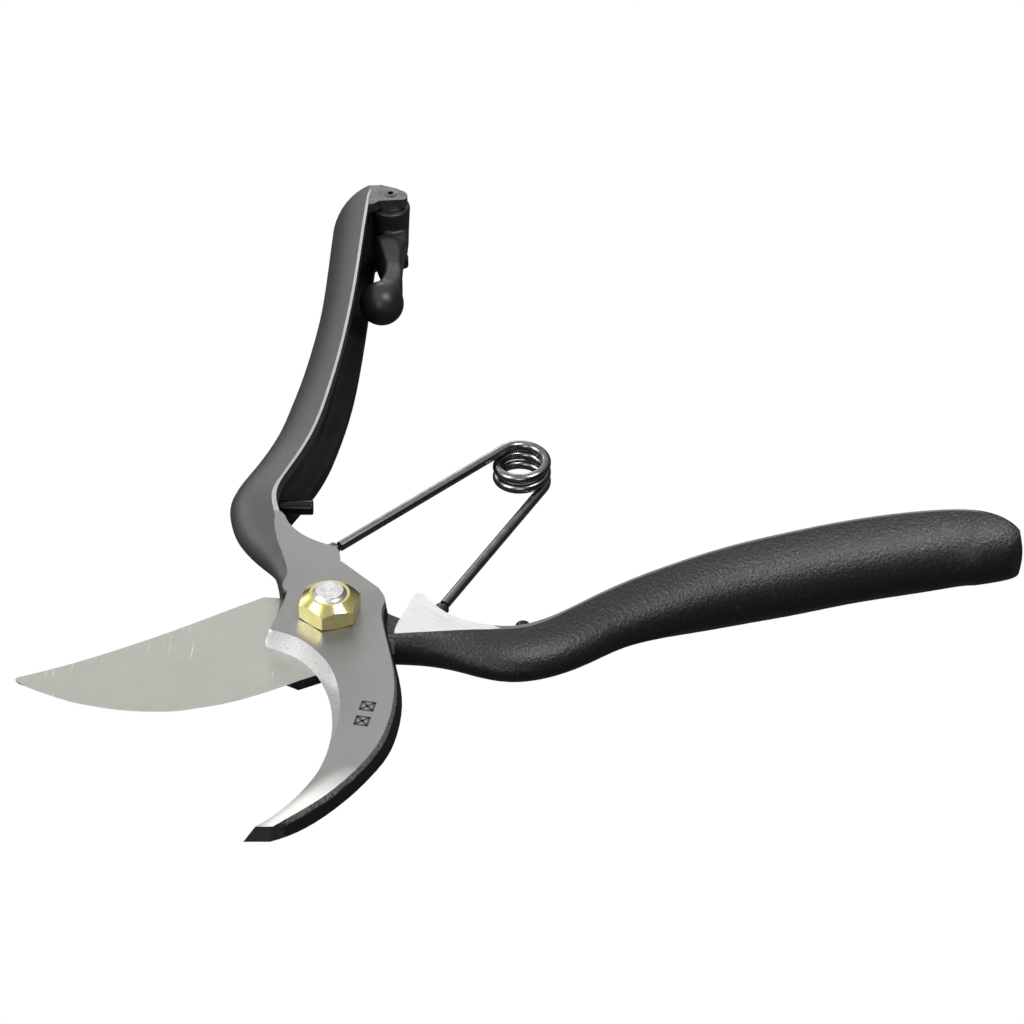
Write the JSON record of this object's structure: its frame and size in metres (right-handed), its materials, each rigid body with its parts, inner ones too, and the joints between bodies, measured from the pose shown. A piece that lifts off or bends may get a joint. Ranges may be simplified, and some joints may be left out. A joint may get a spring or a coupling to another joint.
{
  "type": "pruning shears",
  "caption": "Forged bypass pruning shears with curved channel handles, return spring, folding thumb catch and a hex-nut pivot.",
  "frame": {"origin": "on the pivot axis, on the outer face of the pivot bolt's head", "axes": "+Z along the pivot axis from the bolt head to the nut; +Y along the hook half's handle, away from the jaws; +X towards the blade half's handle as it stands open"},
  "size_m": [0.2032, 0.2207, 0.0245],
  "materials": {
    "hook_forging": "satin black coating on the handle, ground satin steel on the hook plate",
    "blade_forging": "matte textured black coating on the handle, ground satin steel on the blade",
    "bolt_steel": "turned",
    "nut_brass": "polished",
    "spring_wire": "blackened, glossy",
    "catch_black": "semi-gloss black",
    "washer_steel": "satin",
    "stop_rubber": "smooth black"
  },
  "bodies": {
    "hook_body": {"hook_half": "hook_forging", "pivot_bolt": "bolt_steel", "pivot_nut": "nut_brass", "catch_pin": "bolt_steel", "catch_washer": "washer_steel", "upper_bumper": "stop_rubber"},
    "blade_body": {"blade_half": "blade_forging", "lower_bumper": "stop_rubber"},
    "spring_upper_body": {"spring_upper_arm": "spring_wire"},
    "spring_lower_body": {"spring_lower_arm": "spring_wire"},
    "catch_body": {"catch": "catch_black"}
  },
  "joints": [
    {"name": "pivot", "type": "hinge", "parent": "hook_body", "child": "blade_body", "pos_m": [0, 0, 0.0053], "axis": [0, 0, 1], "range_deg": [0, 64], "stiffness_Nm_per_rad": 0.8, "springref_deg": -28.65},
    {"name": "spring_upper", "type": "hinge", "parent": "hook_body", "child": "spring_upper_body", "pos_m": [0.0013, 0.02365, 0.00908], "axis": [0, 0, 1], "range_deg": [0, 51]},
    {"name": "spring_lower", "type": "hinge", "parent": "blade_body", "child": "spring_lower_body", "pos_m": [0.0227, 0.0072, 0.00678], "axis": [0, 0, 1], "range_deg": [-46, 0]},
    {"name": "catch_hinge", "type": "hinge", "parent": "hook_body", "child": "catch_body", "pos_m": [0.0092, 0.1507, 0.00168], "axis": [0, 0, 1], "range_deg": [0, 80]}
  ],
  "couplings": [
    {"joint": "spring_upper", "follows": "pivot", "ratio": 0.79},
    {"joint": "spring_lower", "follows": "pivot", "ratio": -0.702}
  ]
}
